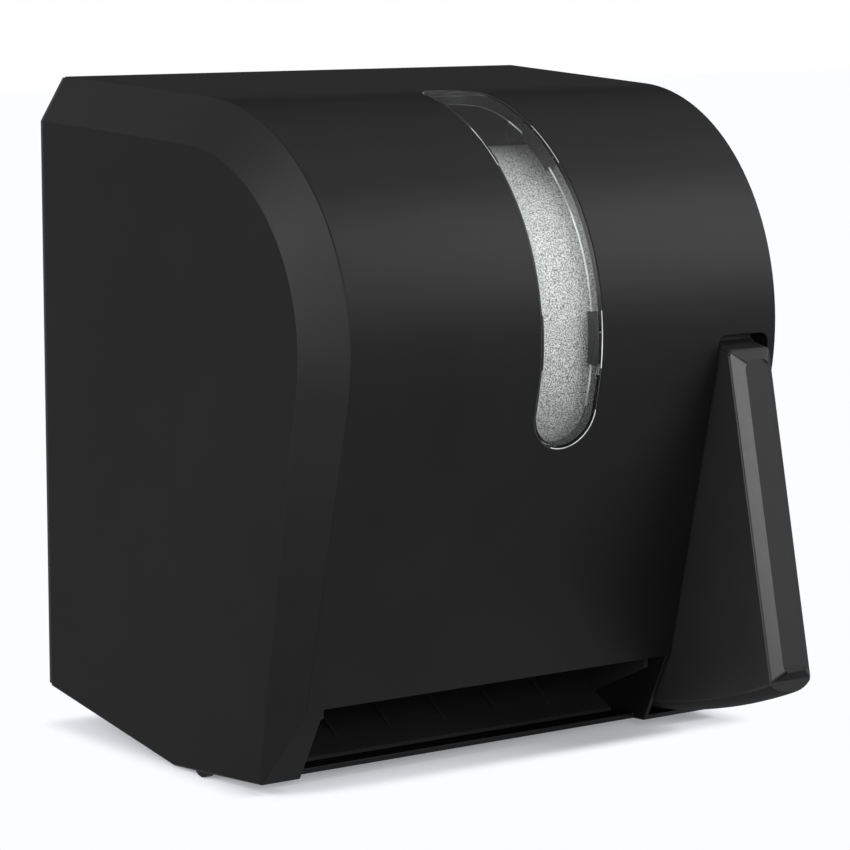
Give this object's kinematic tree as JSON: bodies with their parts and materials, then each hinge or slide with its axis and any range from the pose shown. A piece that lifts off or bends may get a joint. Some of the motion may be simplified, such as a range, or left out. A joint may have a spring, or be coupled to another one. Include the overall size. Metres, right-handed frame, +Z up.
{
  "type": "paddle roll towel dispenser",
  "caption": "Wall-mounted roll towel dispenser with a drafted black cover, curved roll window, open towel outlet and a push paddle that feeds the towel.",
  "frame": {"origin": "middle of the four wall screws, on the wall plane", "axes": "+X to the right as seen by the user, +Y into the wall, +Z up; the front faces -Y"},
  "size_m": [0.3312, 0.3036, 0.3579],
  "materials": {
    "cover_abs": "satin black, fine moulded grain",
    "paddle_abs": "satin black, fine moulded grain",
    "black_abs": "matt black",
    "chassis_plastic": "matt dark",
    "clear_lens": "clear, polished",
    "towel_paper": "white tissue",
    "core_board": "plain board",
    "grip_rubber": "matt grey",
    "pinch_rubber": "matt grey",
    "acetal": "natural white",
    "stainless_steel": "brushed",
    "zinc_steel": "zinc plated",
    "spring_steel": "drawn wire",
    "lock_chrome": "polished"
  },
  "bodies": {
    "base": {"back_plate": "black_abs", "bottom_pan": "chassis_plastic", "left_frame": "chassis_plastic", "right_frame": "chassis_plastic", "cross_bar": "chassis_plastic", "frame_screws": "zinc_steel", "pan_screws": "zinc_steel", "bar_screws": "zinc_steel", "tear_bar": "stainless_steel", "chute_tray": "chassis_plastic", "arm_pin": "zinc_steel", "roll_hub_right": "chassis_plastic", "hub_screw_right": "zinc_steel", "feed_bush_left": "acetal", "feed_bush_right": "acetal", "paddle_bracket": "chassis_plastic", "bracket_screws": "zinc_steel", "hinge_pins": "stainless_steel", "lock_keeper": "zinc_steel", "pinch_springs": "spring_steel", "paddle_spring": "spring_steel"},
    "roll_arm": {"roll_arm": "chassis_plastic", "roll_hub_left": "chassis_plastic", "hub_screw_left": "zinc_steel"},
    "roll": {"roll_core": "core_board", "towel_roll": "towel_paper"},
    "feed": {"feed_shaft": "stainless_steel", "feed_roller": "chassis_plastic", "grip_rings": "grip_rubber", "shaft_clip": "spring_steel"},
    "pinion": {"clutch_pinion": "acetal"},
    "pinch_slide": {"pinch_blocks": "acetal"},
    "pinch": {"pinch_roller": "pinch_rubber", "pinch_shaft": "stainless_steel"},
    "paddle": {"paddle": "paddle_abs", "paddle_pin": "stainless_steel", "drive_sector": "acetal", "sector_screws": "zinc_steel"},
    "cover": {"front_cover": "cover_abs", "window_lens": "clear_lens", "lock_housing": "lock_chrome", "lock_nut": "zinc_steel"},
    "lock": {"lock_plug": "lock_chrome", "lock_cam": "zinc_steel", "cam_screw": "zinc_steel"}
  },
  "joints": [
    {"name": "cover_hinge", "type": "hinge", "parent": "base", "child": "cover", "pos_m": [0, -0.145, -0.183], "axis": [1, 0, 0], "range_deg": [0, 75]},
    {"name": "lock_turn", "type": "hinge", "parent": "cover", "child": "lock", "pos_m": [0.1634, -0.02996, 0.129], "axis": [-0.9986, 0.0534, 0], "range_deg": [0, 90]},
    {"name": "paddle_push", "type": "hinge", "parent": "base", "child": "paddle", "pos_m": [0.1134, -0.243, 0.02], "axis": [1, 0, 0], "range_deg": [0, 20], "stiffness_Nm_per_rad": 0.8, "springref_deg": -17.19, "deforming": ["paddle_spring"]},
    {"name": "pinion_turn", "type": "hinge", "parent": "base", "child": "pinion", "pos_m": [0.102, -0.10974, -0.10869], "axis": [1, 0, 0], "range_deg": [-392, 0]},
    {"name": "feed_turn", "type": "hinge", "parent": "base", "child": "feed", "pos_m": [-0.015, -0.10974, -0.10869], "axis": [1, 0, 0], "continuous": true},
    {"name": "pinch_lift", "type": "slide", "parent": "base", "child": "pinch_slide", "axis": [0, 1, 0], "range_m": [0, 0.003], "stiffness_N_per_m": 400, "springref_m": -0.006, "deforming": ["pinch_springs"]},
    {"name": "pinch_turn", "type": "hinge", "parent": "pinch_slide", "child": "pinch", "pos_m": [-0.015, -0.08634, -0.10869], "axis": [1, 0, 0], "continuous": true},
    {"name": "roll_arm_swing", "type": "hinge", "parent": "base", "child": "roll_arm", "pos_m": [-0.1203, -0.012, 0.03692], "axis": [0, 0, -1], "range_deg": [0, 9]},
    {"name": "roll_turn", "type": "hinge", "parent": "base", "child": "roll", "pos_m": [-0.015, -0.13225, 0.03692], "axis": [1, 0, 0], "continuous": true}
  ],
  "couplings": [
    {"joint": "pinion_turn", "follows": "paddle_push", "ratio": -19.583},
    {"joint": "pinch_turn", "follows": "feed_turn", "ratio": -1.875},
    {"joint": "roll_turn", "follows": "feed_turn", "ratio": 0.16304}
  ]
}
